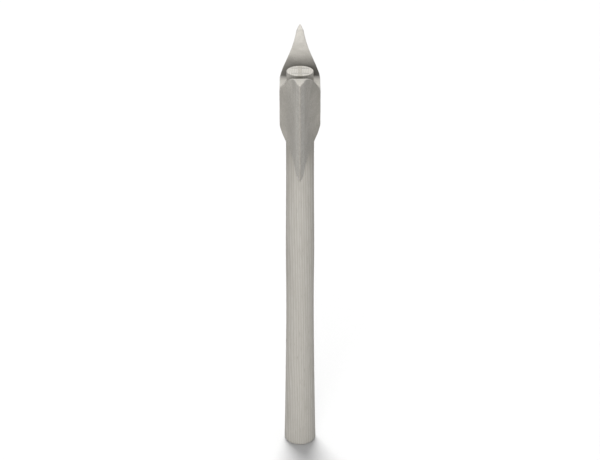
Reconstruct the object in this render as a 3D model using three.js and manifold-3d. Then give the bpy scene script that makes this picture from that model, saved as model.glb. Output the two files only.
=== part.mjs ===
// A double-bitted hand tool: a forged head with a flared blade at each end, on a straight round
// wooden handle that goes right through the head's eye and is spread there by wedges.
//
// Millimetres, +Z up. The origin is on the handle's axis at the underside of the head, where the
// tool hangs in a rack. The handle hangs down the Z axis, the blades point along -Y and +Y, and
// both cutting edges stand upright, in line with the handle.

import * as THREE from 'three';
import { mergeVertices } from 'three/addons/utils/BufferGeometryUtils.js';
import Module from 'manifold-3d';

const wasm = await Module();
wasm.setup();

// ---- Driving dimensions ----

const HEAD_LENGTH = 211; // from cutting edge to cutting edge
const BLOCK_WIDTH = 53; // across the eye block
const BLOCK_LENGTH = 49; // of the eye block, along the head
const BLOCK_HEIGHT = 50;
const EDGE_HEIGHT = 131; // length of each cutting edge
const EDGE_LAND = 1.2; // thickness of a blade at its cutting edge
const BEVEL_LENGTH = 16; // ground along each side of a cutting edge
const BEVEL_THICKNESS = 10; // of a blade where its bevels begin

// The points that each blade's two curves bend towards on their way out from the eye block. The
// first number is measured along the head, the second out from the head's middle plane.
const TAPER_CONTROLS = [[37.5, 15.5], [52.5, 8.5]]; // seen from above
const FLARE_CONTROL = [35.5, 59.5]; // seen from the side

const EYE_MOUTH_RADIUS = 17.8; // at the top and the underside of the block
const EYE_WAIST_RADIUS = 17.3; // half-way through, so that the spread handle can't pull out

const HANDLE_LENGTH = 570;
const STUB_HEIGHT = 17; // of handle standing above the block
const BUTT_RADIUS = 22.3;
const BUTT_ROUNDING = 3;

// Radius of the grip at heights above the butt: flare, waist, swell and shoulder.
const GRIP = [[21.1, 66], [20.0, 140], [19.1, 230], [19.4, 318], [18.7, 408], [18.5, 495]];

const CLEARANCE = 0.3; // between neighbouring pieces

const WOOD_WEDGE = { thickness: 5, tip: 1.2, depth: 46 };
const STEEL_WEDGE = { thickness: 3, tip: 0.8, depth: 24, width: 22, offset: 8.5 };
const KERF_BELOW_WEDGE = 4; // the saw cut goes on this far under the wooden wedge

const ROUND_SEGMENTS = 40;
const CURVE_SEGMENTS = 16; // along each curve of a blade
const GRIP_SEGMENTS = 30; // along the grip
const BUTT_SEGMENTS = 5; // round the butt's edge

// ---- Derived dimensions ----

const BLOCK_END = BLOCK_LENGTH / 2; // where a blade begins, measured from the handle's axis
const BEVEL_START = HEAD_LENGTH / 2 - BEVEL_LENGTH;
const EDGE = HEAD_LENGTH / 2;
const HEAD_CENTRE = BLOCK_HEIGHT / 2;

const HANDLE_TOP = BLOCK_HEIGHT + STUB_HEIGHT;
const HANDLE_BUTT = HANDLE_TOP - HANDLE_LENGTH;
const STUB_RADIUS = EYE_MOUTH_RADIUS - CLEARANCE;

// ---- Materials ----

function finish(color, roughness, metalness) {
  return new THREE.MeshStandardMaterial({ color, roughness, metalness });
}

const forgedSteel = finish(0xb7b4ad, 0.55, 0.6);
const wedgeSteel = finish(0xaaa8a2, 0.5, 0.7);
const paleWood = finish(0xbcb9b3, 0.7, 0);
const wedgeWood = finish(0xc4c0b8, 0.75, 0);

// ---- Turning geometries into solids and back ----

function toSolid(geometry) {
  const bare = geometry.clone();
  bare.deleteAttribute('normal');
  bare.deleteAttribute('uv');
  const welded = mergeVertices(bare, 1e-4);
  const corners = welded.index.array;
  const triangles = [];
  for (let i = 0; i < corners.length; i += 3) {
    const [a, b, c] = corners.slice(i, i + 3);
    if (a !== b && b !== c && c !== a) triangles.push(a, b, c);
  }
  return new wasm.Manifold(new wasm.Mesh({
    numProp: 3,
    vertProperties: new Float32Array(welded.attributes.position.array),
    triVerts: new Uint32Array(triangles),
  }));
}

function toGeometry(solid) {
  const mesh = solid.getMesh();
  const geometry = new THREE.BufferGeometry();
  geometry.setAttribute('position', new THREE.BufferAttribute(mesh.vertProperties, 3));
  geometry.setIndex(new THREE.BufferAttribute(mesh.triVerts, 1));
  geometry.computeVertexNormals();
  return geometry;
}

// A solid turned about the Z axis from a profile of [radius, height] points, bottom to top.
function turned(profile) {
  const points = profile.map(([radius, height]) => new THREE.Vector2(radius, height));
  return toSolid(new THREE.LatheGeometry(points, ROUND_SEGMENTS).rotateX(Math.PI / 2));
}

const X = new THREE.Vector3(1, 0, 0);
const Y = new THREE.Vector3(0, 1, 0);
const Z = new THREE.Vector3(0, 0, 1);
const MINUS_X = new THREE.Vector3(-1, 0, 0);

// Where an outline's first direction, its second direction and its thickness point.
const FROM_ABOVE = [Y, MINUS_X, Z];
const FROM_SIDE = [Y, Z, X];
const FROM_FRONT = [MINUS_X, Z, Y];

// A solid of an outline and a thickness, half of it to each side of the outline's plane.
function extruded(outline, thickness, view) {
  const geometry = new THREE.ExtrudeGeometry(outline, { depth: thickness, bevelEnabled: false });
  geometry.translate(0, 0, -thickness / 2);
  return toSolid(geometry.applyMatrix4(new THREE.Matrix4().makeBasis(...view)));
}

// ---- Head ----

// Mirrors one quarter of an outline, from the eye block to a cutting edge, into all four.
function mirroredOutline(quarter) {
  const outward = quarter.getPoints(CURVE_SEGMENTS);
  const inward = [...outward].reverse();
  const place = (points, along, across) => points.map(
    (point) => new THREE.Vector2(along * point.x, across * point.y),
  );
  return new THREE.Shape([
    ...place(outward, 1, 1),
    ...place(inward, 1, -1),
    ...place(outward, -1, -1),
    ...place(inward, -1, 1),
  ]);
}

// Seen from above: wide at the eye, drawn in quickly to a slim blade, then ground to an edge.
function planOutline() {
  const quarter = new THREE.Path();
  quarter.moveTo(BLOCK_END, BLOCK_WIDTH / 2);
  quarter.bezierCurveTo(...TAPER_CONTROLS.flat(), BEVEL_START, BEVEL_THICKNESS / 2);
  quarter.lineTo(EDGE, EDGE_LAND / 2);
  return mirroredOutline(quarter);
}

// Seen from the side: low at the eye, flaring steeply at first and level at the edge's corners.
function sideOutline() {
  const quarter = new THREE.Path();
  quarter.moveTo(BLOCK_END, BLOCK_HEIGHT / 2);
  quarter.quadraticCurveTo(...FLARE_CONTROL, EDGE, EDGE_HEIGHT / 2);
  return mirroredOutline(quarter);
}

// Hourglass bore for the handle, a little longer than the block is high.
function eyeBore() {
  const overrun = 5;
  return turned([
    [0, -overrun],
    [EYE_MOUTH_RADIUS, -overrun],
    [EYE_MOUTH_RADIUS, 0],
    [EYE_WAIST_RADIUS, HEAD_CENTRE],
    [EYE_MOUTH_RADIUS, BLOCK_HEIGHT],
    [EYE_MOUTH_RADIUS, BLOCK_HEIGHT + overrun],
    [0, BLOCK_HEIGHT + overrun],
  ]);
}

function headSolid() {
  const tapered = extruded(planOutline(), 2 * EDGE_HEIGHT, FROM_ABOVE);
  const flared = extruded(sideOutline(), 2 * BLOCK_WIDTH, FROM_SIDE);
  return tapered.intersect(flared).translate(0, 0, HEAD_CENTRE).subtract(eyeBore());
}

// ---- Wedges ----

// A wedge's cross-section, driven down from the handle's top end. For the slot it sits in, it is
// grown by a clearance, runs out through the top, and can go on below the wedge's tip.
function wedgeOutline(wedge, clearance, below = 0) {
  const top = HANDLE_TOP + clearance;
  const tip = HANDLE_TOP - wedge.depth;
  const halfTop = wedge.thickness / 2 + clearance;
  const halfTip = wedge.tip / 2 + clearance;
  const outline = new THREE.Shape();
  outline.moveTo(-halfTop, top);
  outline.lineTo(-halfTip, tip);
  outline.lineTo(-halfTip, tip - clearance - below);
  outline.lineTo(halfTip, tip - clearance - below);
  outline.lineTo(halfTip, tip);
  outline.lineTo(halfTop, top);
  return outline;
}

// A cross wedge, or its pocket if a clearance is given. Side is -1 at the front, 1 at the rear.
function steelWedge(side, clearance = 0) {
  const outline = wedgeOutline(STEEL_WEDGE, clearance);
  const width = STEEL_WEDGE.width + 2 * clearance;
  return extruded(outline, width, FROM_SIDE).translate(0, side * STEEL_WEDGE.offset, 0);
}

const steelWedgePockets = steelWedge(-1, CLEARANCE).add(steelWedge(1, CLEARANCE));

// ---- Handle ----

// The handle's outside below the head, from the rounded butt up to the shoulder.
function gripCurve() {
  const stations = [[BUTT_RADIUS, BUTT_ROUNDING], ...GRIP];
  return new THREE.SplineCurve(
    stations.map(([radius, height]) => new THREE.Vector2(radius, HANDLE_BUTT + height)),
  );
}

function buttEdgeCurve() {
  const centre = [BUTT_RADIUS - BUTT_ROUNDING, HANDLE_BUTT + BUTT_ROUNDING];
  return new THREE.EllipseCurve(...centre, BUTT_ROUNDING, BUTT_ROUNDING, -Math.PI / 2, 0);
}

function handleBlank() {
  const alongCurve = (curve, steps) => curve.getPoints(steps).map((point) => [point.x, point.y]);
  const topChamfer = 1;
  return turned([
    [0, HANDLE_BUTT],
    ...alongCurve(buttEdgeCurve(), BUTT_SEGMENTS),
    ...alongCurve(gripCurve(), GRIP_SEGMENTS).slice(1),
    [STUB_RADIUS, 0],
    [EYE_WAIST_RADIUS - CLEARANCE, HEAD_CENTRE],
    [STUB_RADIUS, BLOCK_HEIGHT],
    [STUB_RADIUS, HANDLE_TOP - topChamfer],
    [STUB_RADIUS - topChamfer, HANDLE_TOP],
    [0, HANDLE_TOP],
  ]);
}

const blank = handleBlank();

function handleSolid() {
  const kerfOutline = wedgeOutline(WOOD_WEDGE, CLEARANCE, KERF_BELOW_WEDGE);
  return blank.subtract(extruded(kerfOutline, BLOCK_LENGTH, FROM_FRONT)).subtract(steelWedgePockets);
}

// The wooden wedge fills the kerf right across the handle, and the cross wedges notch it.
function woodenWedgeSolid() {
  const wedge = extruded(wedgeOutline(WOOD_WEDGE, 0), BLOCK_LENGTH, FROM_FRONT);
  return wedge.intersect(blank).subtract(steelWedgePockets);
}

// ---- Assembly ----

function piece(name, solid, material) {
  const mesh = new THREE.Mesh(toGeometry(solid), material);
  mesh.name = name;
  return mesh;
}

const tool = new THREE.Group();
tool.add(piece('head', headSolid(), forgedSteel));
tool.add(piece('handle', handleSolid(), paleWood));
tool.add(piece('wooden_wedge', woodenWedgeSolid(), wedgeWood));
tool.add(piece('steel_wedge_front', steelWedge(-1), wedgeSteel));
tool.add(piece('steel_wedge_rear', steelWedge(1), wedgeSteel));

export default tool;
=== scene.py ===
"""A double-bitted forged hand tool on a round wooden handle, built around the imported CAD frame.

Lengths are in metres, in the frame's axes: +Z up along the handle, the blades towards -Y and +Y,
and the origin on the handle's axis at the underside of the head.
"""

from math import atan2, cos, hypot, pi, radians, sin

import bmesh
import bpy
import numpy as np
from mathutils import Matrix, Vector, noise


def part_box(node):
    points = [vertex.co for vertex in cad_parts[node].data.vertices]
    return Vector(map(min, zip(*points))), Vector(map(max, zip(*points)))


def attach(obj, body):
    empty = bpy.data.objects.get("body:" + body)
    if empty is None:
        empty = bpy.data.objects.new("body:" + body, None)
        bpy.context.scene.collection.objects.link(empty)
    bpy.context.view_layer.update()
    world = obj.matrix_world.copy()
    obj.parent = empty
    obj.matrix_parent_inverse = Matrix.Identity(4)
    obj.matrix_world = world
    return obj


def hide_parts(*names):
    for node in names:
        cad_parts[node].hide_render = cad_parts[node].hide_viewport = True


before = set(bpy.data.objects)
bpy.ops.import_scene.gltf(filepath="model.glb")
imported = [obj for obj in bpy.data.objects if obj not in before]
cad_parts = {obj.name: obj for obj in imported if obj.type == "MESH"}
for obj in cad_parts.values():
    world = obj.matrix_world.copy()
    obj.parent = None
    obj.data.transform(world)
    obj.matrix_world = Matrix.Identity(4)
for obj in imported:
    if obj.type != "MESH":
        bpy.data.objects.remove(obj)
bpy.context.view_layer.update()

MM = 0.001


# ---- Sizes taken from the frame ----

HEAD_LOW, HEAD_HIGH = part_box("head")
HANDLE_LOW, HANDLE_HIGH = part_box("handle")
WOOD_WEDGE_LOW, WOOD_WEDGE_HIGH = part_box("wooden_wedge")

EDGE = HEAD_HIGH.y  # distance of each cutting edge from the handle's axis
EDGE_HALF_HEIGHT = (HEAD_HIGH.z - HEAD_LOW.z) / 2
HEAD_CENTRE = (HEAD_HIGH.z + HEAD_LOW.z) / 2
BLOCK_HALF_WIDTH = HEAD_HIGH.x
BLOCK_HALF_HEIGHT = HEAD_CENTRE  # the block's underside is at z = 0
BLOCK_TOP = 2 * BLOCK_HALF_HEIGHT
HANDLE_TOP = HANDLE_HIGH.z
HANDLE_BUTT = HANDLE_LOW.z

# The rest of the head's shape, as the CAD source has it.
BLOCK_END = 24.5 * MM
BEVEL_START = EDGE - 16 * MM
BEVEL_HALF_THICKNESS = 5 * MM
EDGE_HALF_THICKNESS = 0.6 * MM
TAPER_CONTROLS = [(37.5 * MM, 15.5 * MM), (52.5 * MM, 8.5 * MM)]  # seen from above
FLARE_CONTROL = (35.5 * MM, 59.5 * MM)  # seen from the side
STUB_RADIUS = 17.5 * MM  # of the handle where it fills the eye
EYE_WAIST = 0.5 * MM  # how much narrower the eye and the handle are half-way through

# Finer than in the CAD: the rounded edges, and a closer fit in the eye.
EDGE_CORNER = 1.6 * MM  # rounding of a cutting edge's upper and lower corners
FORGED_RADIUS = 1.7 * MM  # rounding of the head's long arrises
EYE_RADIUS = STUB_RADIUS + 0.12 * MM
EYE_RIM = 0.9 * MM  # rounding around the eye's mouths


# ---- Small helpers for meshes ----

def new_object(name, data):
    """Puts a mesh, a light or a camera in the scene."""
    made = bpy.data.objects.new(name, data)
    bpy.context.scene.collection.objects.link(made)
    return made


def finished(bm, name, smooth_below=radians(35)):
    """Turns a bmesh into an object that is shaded smooth except across edges sharper than that."""
    bmesh.ops.recalc_face_normals(bm, faces=bm.faces)
    for face in bm.faces:
        face.smooth = True
    for edge in bm.edges:
        edge.smooth = edge.calc_face_angle(0) < smooth_below
    mesh = bpy.data.meshes.new(name)
    bm.to_mesh(mesh)
    bm.free()
    return new_object(name, mesh)


def with_modifiers_applied(made, helpers=()):
    """Makes an object's modifiers part of its mesh, and deletes the helpers that they used."""
    depsgraph = bpy.context.evaluated_depsgraph_get()
    bm = bmesh.new()
    bm.from_object(made, depsgraph)
    name = made.name
    for used in (made, *helpers):
        bpy.data.objects.remove(used)
    return finished(bm, name)


def combined(made, others, operation):
    """Cuts others out of an object, or keeps only what is inside them. Uses the others up."""
    for other in others:
        boolean = made.modifiers.new("cut", "BOOLEAN")
        boolean.operation = operation
        boolean.solver = "MANIFOLD"
        boolean.object = other
    return with_modifiers_applied(made, others)


def bezier(controls, steps=400):
    """Points along a Bezier curve, by de Casteljau's repeated blending of its control points."""
    t = np.linspace(0, 1, steps)[:, None]
    level = [np.array(point) for point in controls]
    while len(level) > 1:
        level = [a + (b - a) * t for a, b in zip(level, level[1:])]
    return level[0]


# ---- Head: its half-thickness and half-height along a blade ----

# Places from the handle's axis to a cutting edge, at which the blade's curves are worked out.
ALONG = np.linspace(0, EDGE, 2400)


def softened(values, reach):
    """Rounds the corners of a curve over ALONG, by its mean over a stretch of twice that reach."""
    shortest_reach = 1e-7
    reach = np.minimum(reach, EDGE - ALONG) + shortest_reach
    total = np.concatenate([[0], np.cumsum((values[1:] + values[:-1]) / 2 * np.diff(ALONG))])
    low = np.clip(ALONG - reach, 0, EDGE)
    high = np.clip(ALONG + reach, 0, EDGE)
    return (np.interp(high, ALONG, total) - np.interp(low, ALONG, total)) / (high - low)


def blade_half_thickness():
    """Wide at the eye, drawn in to a slim blade, then ground to an edge."""
    drawn = bezier([
        (BLOCK_END, BLOCK_HALF_WIDTH),
        *TAPER_CONTROLS,
        (BEVEL_START, BEVEL_HALF_THICKNESS),
    ])
    along = np.append(drawn[:, 0], EDGE)
    across = np.append(drawn[:, 1], EDGE_HALF_THICKNESS)
    forged_reach = 1.8 * MM
    ground_reach = 0.3 * MM
    fade_start = BEVEL_START - 8 * MM
    fade_length = 20 * MM
    near_block = np.clip((fade_start - ALONG) / fade_length, 0, 1)
    reach = ground_reach + (forged_reach - ground_reach) * near_block
    return softened(np.interp(ALONG, along, across), reach)


def blade_half_height():
    """Low at the eye, flaring steeply at first and level at the rounded corners of the edge."""
    flared = bezier([(BLOCK_END, BLOCK_HALF_HEIGHT), FLARE_CONTROL, (EDGE, EDGE_HALF_HEIGHT)])
    fillet_reach = 1.6 * MM
    height = softened(np.interp(ALONG, flared[:, 0], flared[:, 1]), fillet_reach)
    into_corner = np.clip(ALONG - (EDGE - EDGE_CORNER), 0, EDGE_CORNER)
    return height - (EDGE_CORNER - np.sqrt(EDGE_CORNER ** 2 - into_corner ** 2))


HALF_THICKNESS = blade_half_thickness()
HALF_HEIGHT = blade_half_height()


def bending(values):
    """How sharply a curve over ALONG bends at each place."""
    return np.abs(np.gradient(np.gradient(values, ALONG), ALONG))


def blade_stations(spacing):
    """Distances from the handle's axis at which the head gets a section, closest where it bends."""
    steps = np.sqrt(
        np.diff(ALONG) ** 2 + np.diff(HALF_HEIGHT) ** 2 + np.diff(HALF_THICKNESS) ** 2
    )
    doubling_radius = 2 * MM  # a bend this tight has its sections twice as close
    most_extra = 2
    bends = (bending(HALF_HEIGHT) + bending(HALF_THICKNESS))[1:]
    steps *= 1 + np.minimum(bends * doubling_radius, most_extra)
    travelled = np.concatenate([[0], np.cumsum(steps)])
    count = int(travelled[-1] / spacing)
    even = np.interp(np.linspace(0, travelled[-1], count), travelled, ALONG)
    kept = even[(even < EDGE - EDGE_CORNER) | (even == even[-1])]
    round_corners = EDGE - np.array([1.2, 0.7, 0.35, 0.12]) * MM
    return np.sort(np.concatenate([kept, round_corners]))


# ---- Head: one section ----

TOP_STEPS = 16  # across the top and bottom of each section
SIDE_STEPS = 56  # down each side
CORNER_STEPS = 4
BOTTOM_START = TOP_STEPS + 1 + SIDE_STEPS + 1 + 2 * (CORNER_STEPS - 1)
RING = 2 * BOTTOM_START  # points in each section, clockwise from its top left


def flat_points(start, end, steps):
    """Evenly spaced points along a flat side, both ends included, with no wear."""
    shares = [i / steps for i in range(steps + 1)]
    return [
        (start[0] + (end[0] - start[0]) * share, start[1] + (end[1] - start[1]) * share, 0.0)
        for share in shares
    ]


def corner_points(centre, radius, start_angle):
    """Points clockwise round a quarter circle, both ends left out, with full wear."""
    angles = [start_angle - pi / 2 * i / CORNER_STEPS for i in range(1, CORNER_STEPS)]
    return [
        (centre[0] + radius * cos(angle), centre[1] + radius * sin(angle), 1.0)
        for angle in angles
    ]


def section(half_width, half_height, radius):
    """One ring of points around the head, as (x, height above the head's centre, wear)."""
    flat_x = half_width - radius
    flat_z = half_height - radius
    return [
        *flat_points((-flat_x, half_height), (flat_x, half_height), TOP_STEPS),
        *corner_points((flat_x, flat_z), radius, pi / 2),
        *flat_points((half_width, flat_z), (half_width, -flat_z), SIDE_STEPS),
        *corner_points((flat_x, -flat_z), radius, 0),
        *flat_points((flat_x, -half_height), (-flat_x, -half_height), TOP_STEPS),
        *corner_points((-flat_x, -flat_z), radius, -pi / 2),
        *flat_points((-half_width, -flat_z), (-half_width, flat_z), SIDE_STEPS),
        *corner_points((-flat_x, flat_z), radius, pi),
    ]


def section_at(y):
    """The section at a place along the head, a little thinner at the eased cutting edge."""
    distance = abs(y)
    eased_length = 0.5 * MM
    eased_slope = 0.7
    half_width = float(np.interp(distance, ALONG, HALF_THICKNESS))
    half_width -= max(0, distance - (EDGE - eased_length)) * eased_slope
    half_height = float(np.interp(distance, ALONG, HALF_HEIGHT))
    return section(half_width, half_height, min(FORGED_RADIUS, half_width / 2))


# ---- Head: the mesh ----

def join_rings(bm, first, second):
    """A band of faces between two closed rings of as many points."""
    count = len(first)
    for i in range(count):
        after = (i + 1) % count
        bm.faces.new((first[i], first[after], second[after], second[i]))


def circle_inside(bm, border, radius, height, share=1):
    """New points in line with a border's points, that share of the way from them to a circle."""
    ring = []
    for corner in border:
        angle = atan2(corner.co.y, corner.co.x)
        border_radius = hypot(corner.co.x, corner.co.y)
        reach = radius * share + border_radius * (1 - share)
        ring.append(bm.verts.new((reach * cos(angle), reach * sin(angle), height)))
    return ring


def opening_border(rows, first, last, top):
    """The points once round the opening that the sections leave in the block's top or bottom."""
    start = 0 if top else BOTTOM_START
    columns = list(range(start, start + TOP_STEPS + 1))
    if top:
        columns.reverse()
    return [
        *[rows[first][k] for k in columns],
        *[rows[j][columns[-1]] for j in range(first + 1, last + 1)],
        *[rows[last][k] for k in reversed(columns[:-1])],
        *[rows[j][columns[0]] for j in range(last - 1, first, -1)],
    ]


def eye_patch(bm, wear, border, height, inward):
    """Fills the opening around the eye, and rounds the eye's rim. Returns the rim's inner ring."""
    patch_steps = 4
    closing_in = 0.8  # below 1, so that the rings lie closer towards the eye
    rings = [border]
    for i in range(1, patch_steps + 1):
        share = (i / patch_steps) ** closing_in
        rings.append(circle_inside(bm, border, EYE_RADIUS + EYE_RIM, height, share))
    for i in range(1, CORNER_STEPS + 1):
        turn = pi / 2 * i / CORNER_STEPS
        radius = EYE_RADIUS + EYE_RIM * (1 - sin(turn))
        drop = inward * EYE_RIM * (1 - cos(turn))
        rings.append(circle_inside(bm, border, radius, height + drop))
        for vertex in rings[-1]:
            vertex[wear] = 1.0
    for outer, inner in zip(rings, rings[1:]):
        join_rings(bm, outer, inner)
    return rings[-1]


def eye_wall(bm, top_ring, bottom_ring):
    """The hourglass wall between the eye's two mouths."""
    levels = 8
    depth = BLOCK_TOP - 2 * EYE_RIM
    rings = [top_ring]
    for i in range(1, levels):
        height = BLOCK_TOP - EYE_RIM - depth * i / levels
        narrowing = EYE_WAIST * (1 - abs(height - HEAD_CENTRE) / BLOCK_HALF_HEIGHT)
        rings.append(circle_inside(bm, top_ring, EYE_RADIUS - narrowing, height))
    rings.append(bottom_ring)
    for upper, lower in zip(rings, rings[1:]):
        join_rings(bm, upper, lower)


def close_edge(bm, ring):
    """Fills the narrow land at a cutting edge with a ladder of faces, from its top down."""
    rungs = [ring[:TOP_STEPS + 1]]
    for k in range(TOP_STEPS + 1, BOTTOM_START):
        left = TOP_STEPS - k  # below zero, so it counts back from the ring's end
        rungs.append([ring[left], ring[k]])
    rungs.append(ring[BOTTOM_START + TOP_STEPS:BOTTOM_START - 1:-1])
    for upper, lower in zip(rungs, rungs[1:]):
        bm.faces.new([*upper, *reversed(lower)])


def paint_hollow_shade(bm, painted_shade):
    """Marks the hollows that get painted shade: at each blade's root and round the eye."""
    root_reach = 38 * MM
    eye_reach = 3 * MM
    eye_strength = 0.8
    for vertex in bm.verts:
        x, y, z = vertex.co
        past_block = abs(y) - BLOCK_END
        if past_block < 0:
            past_block *= 2  # it reaches half as far back over the block
        from_middle = abs(z - HEAD_CENTRE)
        above_block = max(0.0, from_middle - BLOCK_HALF_HEIGHT)
        at_root = max(0.0, 1 - hypot(past_block, above_block) / root_reach)
        faces_sideways = abs(vertex.normal.x) >= 0.7
        beside_block = from_middle <= 0.9 * BLOCK_HALF_HEIGHT
        if faces_sideways or beside_block:
            at_root = 0.0
        at_eye = max(0.0, 1 - abs(hypot(x, y) - EYE_RADIUS) / eye_reach)
        # Painted shade: strongest at the blade roots and round the eye, none on the sideways faces.
        vertex[painted_shade] = max(at_root, eye_strength * at_eye)


def forge_marks(bm):
    """Sinks the forged skin a little, in soft hammer dints. Ground and bored parts stay true."""
    dint_size, dint_depth = 13 * MM, 0.22 * MM
    swell_size, swell_depth = 38 * MM, 0.3 * MM
    eye_fade, bevel_fade = 4 * MM, 3 * MM
    dint_fade = 1.3  # for each dint size away from a dint's middle
    rim_radius = EYE_RADIUS + EYE_RIM
    depths = []
    for vertex in bm.verts:
        from_axis = hypot(vertex.co.x, vertex.co.y)
        clear_of_eye = min(max((from_axis - rim_radius) / eye_fade, 0), 1)
        clear_of_bevel = min(max((BEVEL_START - abs(vertex.co.y)) / bevel_fade, 0), 1)
        to_dint = noise.voronoi(vertex.co / dint_size)[0][0]
        dint = max(0.0, 1 - to_dint * dint_fade) ** 2
        swell = 0.5 + 0.5 * noise.noise(vertex.co / swell_size)
        depths.append(clear_of_eye * clear_of_bevel * (dint_depth * dint + swell_depth * swell))
    for vertex, depth in zip(bm.verts, depths):
        vertex.co -= vertex.normal * depth


def build_head():
    bm = bmesh.new()
    wear = bm.verts.layers.float.new("wear")
    painted_shade = bm.verts.layers.float.new("painted_shade")
    blade = blade_stations(spacing=1.9 * MM)
    stations = np.concatenate([-blade[:0:-1], blade])
    rows = []
    for y in stations:
        row = []
        for x, z, worn in section_at(y):
            vertex = bm.verts.new((x, y, HEAD_CENTRE + z))
            vertex[wear] = worn
            row.append(vertex)
        rows.append(row)

    opening_reach = BLOCK_END - 2 * MM
    first = int(np.argmax(stations > -opening_reach))
    last = len(stations) - 1 - first
    open_columns = {*range(TOP_STEPS), *range(BOTTOM_START, BOTTOM_START + TOP_STEPS)}
    for j in range(len(rows) - 1):
        for k in range(RING):
            if first <= j < last and k in open_columns:
                continue
            after = (k + 1) % RING
            bm.faces.new((rows[j][k], rows[j][after], rows[j + 1][after], rows[j + 1][k]))

    top_border = opening_border(rows, first, last, top=True)
    bottom_border = opening_border(rows, first, last, top=False)
    top_ring = eye_patch(bm, wear, top_border, BLOCK_TOP, inward=-1)
    bottom_ring = eye_patch(bm, wear, bottom_border, 0, inward=1)
    eye_wall(bm, top_ring, bottom_ring)
    close_edge(bm, rows[0])
    close_edge(bm, rows[-1])

    bmesh.ops.recalc_face_normals(bm, faces=bm.faces)
    bm.normal_update()
    paint_hollow_shade(bm, painted_shade)
    forge_marks(bm)
    return finished(bm, "forged_head", smooth_below=radians(50))


# ---- Handle ----

BUTT_RADIUS = HANDLE_HIGH.x
BUTT_ROUNDING = 3 * MM
HANDLE_SEGMENTS = 96

# The grip's radius and height above the butt, in millimetres, as the CAD source has them.
GRIP = [(21.1, 66), (20.0, 140), (19.1, 230), (19.4, 318), (18.7, 408), (18.5, 495)]

# The rounded top edge, in from the handle's side and down from its top, in millimetres.
RIM = [(0, 1), (0.15, 0.4), (0.5, 0.1), (1, 0)]


def catmull_rom(points, steps):
    """A smooth curve through points, with so many steps from each one to the next."""
    points = np.array([points[0], *points, points[-1]], float)
    t = np.linspace(0, 1, steps, endpoint=False)[:, None]
    curve = []
    for a, b, c, d in zip(points, points[1:], points[2:], points[3:]):
        curve.extend(b + ((c - a) * t + (2 * a - 5 * b + 4 * c - d) * t ** 2
                          + (3 * b - a - 3 * c + d) * t ** 3) / 2)
    return [*curve, points[-1]]


def handle_outline():
    """Radius and height of the handle from its butt to its top, narrowest inside the head."""
    butt_steps = 5
    butt = []
    for i in range(butt_steps + 1):
        turn = pi / 2 * i / butt_steps
        radius = BUTT_RADIUS - BUTT_ROUNDING * (1 - sin(turn))
        butt.append((radius, HANDLE_BUTT + BUTT_ROUNDING * (1 - cos(turn))))
    grip = [(radius * MM, HANDLE_BUTT + height * MM) for radius, height in GRIP]
    in_head = [
        (STUB_RADIUS, 0.0),
        (STUB_RADIUS - EYE_WAIST, HEAD_CENTRE),
        (STUB_RADIUS, BLOCK_TOP),
    ]
    rim = [(STUB_RADIUS - inward * MM, HANDLE_TOP - down * MM) for inward, down in RIM]
    smooth = catmull_rom([butt[-1], *grip, *in_head, rim[0]], steps=18)
    return [*butt[:-1], *smooth, *rim[1:]]


def turned(outline, name, undulation=0.0):
    """Turns an outline round the Z axis, with hollows up to that deep, and closes its two ends."""
    hollow_width = 14 * MM
    hollow_stretch = 6  # along the grain
    bm = bmesh.new()
    rings = []
    for radius, height in outline:
        ring = []
        for i in range(HANDLE_SEGMENTS):
            angle = 2 * pi * i / HANDLE_SEGMENTS
            outward = Vector((cos(angle), sin(angle), 0))
            point = outward * radius + Vector((0, 0, height))
            across_grain = Vector((point.x, point.y, point.z / hollow_stretch)) / hollow_width
            hollow = undulation * (0.5 + 0.5 * noise.noise(across_grain))
            ring.append(bm.verts.new(point - outward * hollow))
        rings.append(ring)
    for lower, upper in zip(rings, rings[1:]):
        join_rings(bm, lower, upper)
    bm.faces.new(rings[0])
    bm.faces.new(rings[-1])
    return finished(bm, name)


# ---- Wedges ----

STEEL_WEDGES = ("steel_wedge_front", "steel_wedge_rear")
WOOD_WEDGE_THICKNESS = WOOD_WEDGE_HIGH.x - WOOD_WEDGE_LOW.x
WOOD_WEDGE_DEPTH = WOOD_WEDGE_HIGH.z - WOOD_WEDGE_LOW.z
WOOD_WEDGE_TIP = 1.2 * MM
KERF_BELOW_WEDGE = 4 * MM
STEEL_WEDGE_TIP = 0.8 * MM
SEAM = 0.12 * MM  # the hairline between a wedge and what it is driven into


def wedge(name, thickness, tip, width, depth, grown=0.0, above=0.0, below=0.0):
    """A wedge driven down from the handle's top, thick along X and broad along Y.

    It can be grown on its four sides, and go on past its two ends, to cut room for itself.
    """
    bm = bmesh.new()
    corners = []
    reach = width / 2 + grown
    for drop in (-above, depth + below):
        half = (thickness + (tip - thickness) * drop / depth) / 2 + grown
        for x, y in ((-half, -reach), (half, -reach), (half, reach), (-half, reach)):
            corners.append(bm.verts.new((x, y, HANDLE_TOP - drop)))
    bmesh.ops.convex_hull(bm, input=corners)
    bmesh.ops.dissolve_limit(bm, angle_limit=radians(1), verts=bm.verts, edges=bm.edges)
    return finished(bm, name, smooth_below=0)


def wooden_wedge_blank(name, **grown):
    """The wooden wedge before its ends are trimmed to the handle's round."""
    untrimmed_width = 4 * STUB_RADIUS
    return wedge(
        name, WOOD_WEDGE_THICKNESS, WOOD_WEDGE_TIP, untrimmed_width, WOOD_WEDGE_DEPTH, **grown
    )


def steel_wedge_blank(name, node, **grown):
    """A steel wedge in its node's place, turned a quarter to lie across the wooden one."""
    low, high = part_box(node)
    made = wedge(
        name, high.y - low.y, STEEL_WEDGE_TIP, high.x - low.x, high.z - low.z, **grown
    )
    middle = (low.y + high.y) / 2
    for vertex in made.data.vertices:
        vertex.co = Vector((vertex.co.y, middle - vertex.co.x, vertex.co.z))
    return made


def steel_pockets():
    return [steel_wedge_blank("pocket", node, grown=SEAM, above=MM) for node in STEEL_WEDGES]


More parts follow.
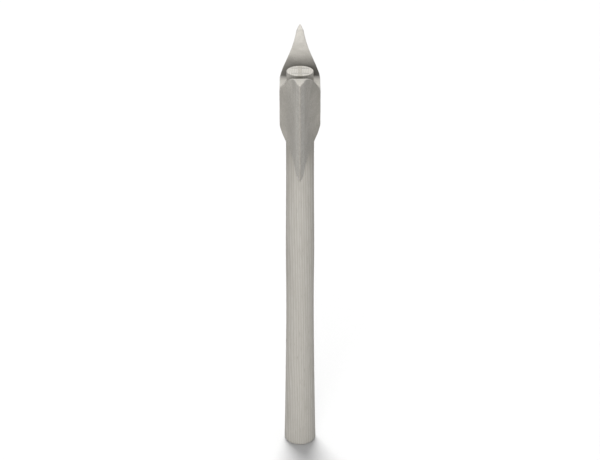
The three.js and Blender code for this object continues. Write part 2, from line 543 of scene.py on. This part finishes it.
def build_handle():
    kerf = wooden_wedge_blank("kerf", grown=SEAM, above=MM, below=KERF_BELOW_WEDGE)
    whole = turned(handle_outline(), "turned_handle", undulation=0.25 * MM)
    return combined(whole, [kerf, *steel_pockets()], "DIFFERENCE")


def build_wooden_wedge():
    blank = wooden_wedge_blank("split_wedge", above=MM)
    in_the_eye = [(radius, height) for radius, height in handle_outline() if height > 0]
    trimmed = combined(blank, [turned(in_the_eye, "stub")], "INTERSECT")
    return combined(trimmed, steel_pockets(), "DIFFERENCE")


def build_steel_wedge(name, node):
    made = steel_wedge_blank(name, node)
    bevel = made.modifiers.new("worn corners", "BEVEL")
    bevel.width = 0.25 * MM
    bevel.segments = 3
    return with_modifiers_applied(made)


# ---- Materials ----

class Recipe:
    """A node material in the making. Most methods add a node and return its output."""

    gloss = 0.22  # low, so that the steel and the dry wood stay dull

    def __init__(self, name):
        self.material = bpy.data.materials.new(name)
        self.material.use_nodes = True
        self.tree = self.material.node_tree
        self.shader = self.tree.nodes["Principled BSDF"]
        self.place = self.add("ShaderNodeTexCoord").outputs["Object"]

    def add(self, kind, **settings):
        """A new node, with its own settings made."""
        node = self.tree.nodes.new(kind)
        for key, value in settings.items():
            setattr(node, key, value)
        return node

    def feed(self, socket, value):
        """Links another node's output to a socket, or gives the socket a constant."""
        if isinstance(value, bpy.types.NodeSocket):
            self.tree.links.new(value, socket)
        else:
            socket.default_value = value

    def noise(self, repeats, detail=3.0, roughness=0.5):
        """Noise with that many repeats per metre, either the same on each axis or X, Y and Z."""
        per_axis = repeats if isinstance(repeats, tuple) else (repeats, repeats, repeats)
        mapping = self.add("ShaderNodeMapping")
        self.feed(mapping.inputs["Vector"], self.place)
        mapping.inputs["Scale"].default_value = per_axis
        node = self.add("ShaderNodeTexNoise")
        self.feed(node.inputs["Vector"], mapping.outputs["Vector"])
        node.inputs["Scale"].default_value = 1
        node.inputs["Detail"].default_value = detail
        node.inputs["Roughness"].default_value = roughness
        return node.outputs["Fac"]

    def spread(self, value, low, high, to_low=0.0, to_high=1.0):
        """Carries the stretch from low to high over to another one, with soft ends."""
        node = self.add("ShaderNodeMapRange", interpolation_type="SMOOTHSTEP")
        self.feed(node.inputs["Value"], value)
        node.inputs["From Min"].default_value = low
        node.inputs["From Max"].default_value = high
        node.inputs["To Min"].default_value = to_low
        node.inputs["To Max"].default_value = to_high
        return node.outputs["Result"]

    def math(self, operation, first, second=0.0):
        node = self.add("ShaderNodeMath", operation=operation)
        self.feed(node.inputs[0], first)
        self.feed(node.inputs[1], second)
        return node.outputs[0]

    def times(self, first, second):
        return self.math("MULTIPLY", first, second)

    def plus(self, first, second):
        return self.math("ADD", first, second)

    def axis(self, name):
        """The place on the piece along X, Y or Z."""
        node = self.add("ShaderNodeSeparateXYZ")
        self.feed(node.inputs[0], self.place)
        return node.outputs[name]

    def attribute(self, name):
        return self.add("ShaderNodeAttribute", attribute_name=name).outputs["Fac"]

    def blend(self, share, first, second):
        """A colour between two, each a colour or another node's output."""
        node = self.add("ShaderNodeMix", data_type="RGBA")
        self.feed(node.inputs["Factor"], share)
        colours_in = [socket for socket in node.inputs if socket.type == "RGBA"]
        self.feed(colours_in[0], first)
        self.feed(colours_in[1], second)
        return next(socket for socket in node.outputs if socket.type == "RGBA")

    def bump(self, height, distance, below=None):
        """Relief that tall, over the relief below it if there is any."""
        node = self.add("ShaderNodeBump")
        self.feed(node.inputs["Height"], height)
        node.inputs["Distance"].default_value = distance
        if below is not None:
            self.feed(node.inputs["Normal"], below)
        return node.outputs["Normal"]

    def done(self, colour, roughness, normal, metallic=0.0):
        """Feeds the shader and returns the finished material."""
        self.feed(self.shader.inputs["Base Color"], colour)
        self.feed(self.shader.inputs["Roughness"], roughness)
        self.feed(self.shader.inputs["Normal"], normal)
        self.feed(self.shader.inputs["Metallic"], metallic)
        self.shader.inputs["Specular IOR Level"].default_value = self.gloss
        return self.material


def grey(value, warmth=1.0):
    """A neutral to warm grey of that linear brightness."""
    return (value * (1 + 0.04 * warmth), value, value * (1 - 0.08 * warmth), 1)


def forged_steel():
    """Dull oxide skin, painted lighter along the blades, worn off the arrises and ground off the
    edges.
    """
    recipe = Recipe("forged steel")

    # Cloudy scale, with thin flakes, specks and pits, and painted shade in the hollows.
    cloudy = recipe.spread(recipe.noise(28, detail=4), 0.34, 0.66)
    speckled = recipe.spread(recipe.noise(700, detail=5), 0.36, 0.64)
    pitted = recipe.spread(recipe.noise(330, detail=3), 0.62, 0.74)
    flaked = recipe.spread(recipe.noise(105, detail=6, roughness=0.62), 0.46, 0.56)
    skin = recipe.blend(cloudy, grey(0.18, 1.25), grey(0.24, 1.25))
    skin = recipe.blend(recipe.times(flaked, 0.3), skin, grey(0.15, 1.5))
    skin = recipe.blend(recipe.times(speckled, 0.35), skin, grey(0.16, 1.4))
    skin = recipe.blend(recipe.times(pitted, 0.5), skin, grey(0.11, 1.5))
    # Painted shade in the hollows, mottled by the cloudy scale, darkens the skin towards a
    # near-black grey.
    painted_shade_mottled = recipe.plus(recipe.attribute("painted_shade"), recipe.spread(cloudy, 0, 1, -0.1, 0.1))
    skin = recipe.blend(recipe.spread(painted_shade_mottled, 0.05, 0.9, 0.0, 0.9), skin, grey(0.06, 1.5))

    # The skin is painted lighter towards the edges, as painted light, and wears off along the
    # arrises in ragged patches.
    towards_edge = recipe.math("ABSOLUTE", recipe.axis("Y"))
    # Painted light: the skin is painted lighter from the block out to the bevels.
    painted_light_along_blade = recipe.spread(towards_edge, BLOCK_END, BEVEL_START, 0.0, 0.36)
    skin = recipe.blend(painted_light_along_blade, skin, grey(0.265, 1.2))
    ragged = recipe.noise(160, detail=4)
    worn = recipe.spread(recipe.times(recipe.attribute("wear"), ragged), 0.3, 0.62)
    skin = recipe.blend(recipe.times(worn, 0.5), skin, grey(0.26, 0.8))

    # The ground bevels begin at a wavering line, and are scratched square to the edge.
    wavering = recipe.times(recipe.noise(60), 2.4 * MM)
    wavered_edge = recipe.plus(towards_edge, wavering)
    ground = recipe.spread(wavered_edge, BEVEL_START + 0.8 * MM, BEVEL_START + 1.6 * MM)
    scratched = recipe.noise((300, 14, 260), detail=7, roughness=0.72)
    bright = recipe.blend(recipe.spread(scratched, 0.3, 0.7), grey(0.2, 1.3), grey(0.25, 1.3))
    colour = recipe.blend(ground, skin, bright)

    rough_skin = recipe.spread(speckled, 0, 1, 0.52, 0.68)
    polish = recipe.math("MAXIMUM", ground, recipe.times(worn, 0.7))
    roughness = recipe.math("SUBTRACT", rough_skin, recipe.times(polish, 0.13))
    metallic = recipe.times(polish, 0.12)

    scale_bump = recipe.bump(recipe.noise(420, detail=5), 0.22 * MM)
    flake_bump = recipe.bump(recipe.times(flaked, -1), 0.1 * MM, scale_bump)
    pit_bump = recipe.bump(recipe.times(pitted, -1), 0.12 * MM, flake_bump)
    grind_bump = recipe.bump(recipe.times(ground, scratched), 0.025 * MM, pit_bump)
    return recipe.done(colour, roughness, grind_bump, metallic)


def grained_wood(name, early, late, dirt_and_shadow, rings_per_metre, turned_by=0.0):
    """Straight-grained wood: growth rings, fine fibres, open pores, handling marks and a painted
    shadow of the head.
    """
    recipe = Recipe(name)

    # Growth rings are near-flat layers here, which swirl a little. Each ends in dense latewood.
    swirl = recipe.noise((9, 9, 2.2), detail=2)
    across_x = recipe.times(recipe.axis("X"), cos(turned_by))
    across_y = recipe.times(recipe.axis("Y"), sin(turned_by))
    into_tree = recipe.plus(recipe.plus(across_x, across_y), recipe.times(swirl, 22 * MM))
    through_ring = recipe.math("FRACT", recipe.times(into_tree, rings_per_metre))
    latewood = recipe.math("POWER", through_ring, 2.2)

    # Fibres and pores run along Z. The pores are in the earlier wood.
    fibres = recipe.noise((1400, 1400, 28), detail=4, roughness=0.6)
    pores = recipe.spread(recipe.noise((1900, 1900, 60), detail=2), 0.6, 0.7)
    pores = recipe.times(pores, recipe.math("SUBTRACT", 1.0, latewood))

    # Hands have stained it. Below the head, but not at its top end, a painted shadow of the head
    # darkens it.
    stained = recipe.spread(recipe.noise((16, 16, 7), detail=4), 0.45, 0.72)
    wavering = recipe.times(recipe.noise((70, 70, 25)), 24 * MM)
    up_to_head = recipe.plus(recipe.axis("Z"), wavering)
    # Painted shadow of the head: darkest just under it, fading down the handle.
    head_shadow = recipe.spread(up_to_head, -105 * MM, 14 * MM)
    head_shadow = recipe.times(head_shadow, recipe.spread(recipe.axis("Z"), 66 * MM, 50 * MM))

    colour = recipe.blend(recipe.times(latewood, 0.9), early, late)
    colour = recipe.blend(recipe.spread(fibres, 0.3, 0.75, 0.0, 0.5), colour, late)
    colour = recipe.blend(recipe.times(pores, 0.55), colour, dirt_and_shadow)
    colour = recipe.blend(recipe.times(stained, 0.22), colour, dirt_and_shadow)
    colour = recipe.blend(recipe.times(head_shadow, 0.45), colour, dirt_and_shadow)

    dry = recipe.spread(fibres, 0.3, 0.7, 0.55, 0.66)
    roughness = recipe.plus(dry, recipe.times(stained, -0.1))
    fibre_bump = recipe.bump(fibres, 0.09 * MM)
    ring_bump = recipe.bump(latewood, 0.06 * MM, fibre_bump)
    pore_bump = recipe.bump(recipe.times(pores, -1), 0.08 * MM, ring_bump)
    return recipe.done(colour, roughness, pore_bump)


def wedge_steel():
    """Mild steel, burred and dented where a hammer has driven it home."""
    recipe = Recipe("wedge steel")
    rolled = recipe.noise((260, 1500, 1500), detail=4)
    dented = recipe.noise(420, detail=2)
    colour = recipe.blend(recipe.spread(rolled, 0.3, 0.7), grey(0.145), grey(0.205))
    roughness = recipe.spread(dented, 0.3, 0.7, 0.42, 0.58)
    normal = recipe.bump(rolled, 0.05 * MM, recipe.bump(dented, 0.3 * MM))
    return recipe.done(colour, roughness, normal, metallic=0.2)


def floor_paper():
    """A plain pale floor with a trace of tooth."""
    recipe = Recipe("pale floor")
    tooth = recipe.noise(300, detail=2)
    colour = recipe.blend(tooth, grey(0.41, 0), grey(0.43, 0))
    return recipe.done(colour, 0.9, recipe.bump(tooth, 0.05 * MM))


# ---- The pieces, each on the tool's one body ----

def add_piece(piece, node, material):
    """Gives a piece its material, and puts it on the body in place of its CAD node."""
    piece.data.materials.clear()
    piece.data.materials.append(material)
    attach(piece, "root")
    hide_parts(node)


ASH = grained_wood(
    "ash handle", grey(0.28, 0.9), grey(0.195, 1.6), grey(0.11, 2.0), rings_per_metre=330
)
BEECH = grained_wood(
    "beech wedge", grey(0.215, 1.4), grey(0.178, 1.8), grey(0.11, 2.2), rings_per_metre=700,
    turned_by=radians(70),
)
WEDGE_STEEL = wedge_steel()

add_piece(build_head(), "head", forged_steel())
add_piece(build_handle(), "handle", ASH)
add_piece(build_wooden_wedge(), "wooden_wedge", BEECH)
for node in STEEL_WEDGES:
    add_piece(build_steel_wedge(f"driven_{node}", node), node, WEDGE_STEEL)


# ---- Floor, light and camera ----

def add_floor():
    """A square under the butt, which reaches far past what the camera sees."""
    half = 12.0
    bm = bmesh.new()
    corners = [
        bm.verts.new((x, y, HANDLE_BUTT))
        for x, y in ((-half, -half), (half, -half), (half, half), (-half, half))
    ]
    bm.faces.new(corners)
    floor = finished(bm, "floor")
    floor.data.materials.append(floor_paper())


def add_softbox(name, heading, strength):
    """A broad, far light that shines along a heading."""
    lamp = bpy.data.lights.new(name, "SUN")
    lamp.energy = strength * pi  # so that a white surface facing the light shows at that strength
    lamp.angle = radians(30)
    made = new_object(name, lamp)
    made.rotation_euler = Vector(heading).to_track_quat("-Z", "Y").to_euler()


def add_sky():
    """A studio's white walls all round, under a dim ceiling."""
    wall_strength, ceiling_strength = 1.2, 0.62
    fade_from, fade_to = radians(2), radians(28)  # above the horizon
    world = bpy.data.worlds.new("studio")
    world.use_nodes = True
    tree = world.node_tree
    direction = tree.nodes.new("ShaderNodeTexCoord").outputs["Generated"]
    parts = tree.nodes.new("ShaderNodeSeparateXYZ")
    height = tree.nodes.new("ShaderNodeMapRange")
    height.interpolation_type = "SMOOTHSTEP"
    height.inputs["From Min"].default_value = sin(fade_from)
    height.inputs["From Max"].default_value = sin(fade_to)
    height.inputs["To Min"].default_value = wall_strength
    height.inputs["To Max"].default_value = ceiling_strength
    tree.links.new(direction, parts.inputs[0])
    tree.links.new(parts.outputs["Z"], height.inputs["Value"])
    tree.links.new(height.outputs["Result"], tree.nodes["Background"].inputs["Strength"])
    tree.nodes["Background"].inputs["Color"].default_value = (1, 1, 1, 1)
    bpy.context.scene.world = world
    bpy.context.scene.view_settings.view_transform = "Standard"


def add_camera():
    """In front of the tool and above it, as the photograph has it, but zoomed in on the tool."""
    image_width, image_height = 600, 460
    filled = 0.89  # of the picture's height
    sensor_width = 36
    in_front = 2.0
    above_handle = 0.838
    eye = Vector((0, -in_front, HANDLE_TOP + above_handle))
    down_to_far_edge = atan2(eye.z - HEAD_HIGH.z, EDGE - eye.y)
    down_to_butt = atan2(eye.z - HANDLE_BUTT, -eye.y)
    tilt = (down_to_far_edge + down_to_butt) / 2
    half_span = (down_to_butt - down_to_far_edge) / 2
    focal_pixels = filled * image_height / 2 / sin(half_span)
    camera = bpy.data.cameras.new("camera")
    camera.sensor_width = sensor_width
    camera.lens = focal_pixels / image_width * sensor_width
    made = new_object("camera", camera)
    made.location = eye
    made.rotation_euler = (pi / 2 - tilt, 0, 0)
    bpy.context.scene.camera = made


add_floor()
add_softbox("overhead", (0.08, -0.52, -0.9), 1.8)
add_softbox("front", (0.16, 1, -0.15), 1.14)
add_sky()
add_camera()
